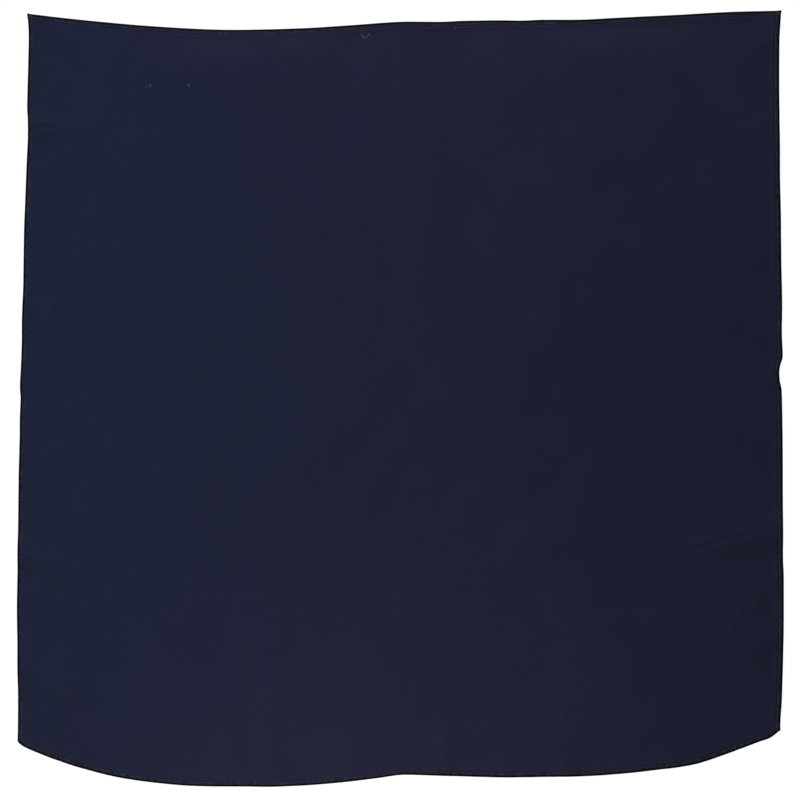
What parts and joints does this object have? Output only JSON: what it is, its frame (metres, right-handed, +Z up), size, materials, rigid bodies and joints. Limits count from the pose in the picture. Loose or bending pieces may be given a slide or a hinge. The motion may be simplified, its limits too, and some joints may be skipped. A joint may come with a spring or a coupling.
{
  "type": "bandana",
  "caption": "Plain square cotton bandana with overlocked edges, laid flat with soft folds and a gently swagged top edge.",
  "frame": {"origin": "middle of the cloth's outline, on the plane that the cloth lies on", "axes": "+X to the right and +Y to the top edge of the cloth seen from above, +Z up out of the cloth"},
  "size_m": [0.5675, 0.574, 0.0056],
  "materials": {
    "navy_cotton": "matt plain weave",
    "navy_thread": "spun sewing thread"
  },
  "bodies": {
    "root": {"cloth": "navy_cotton", "edging_top": "navy_thread", "edging_right": "navy_thread", "edging_bottom": "navy_thread", "edging_left": "navy_thread"}
  },
  "joints": []
}
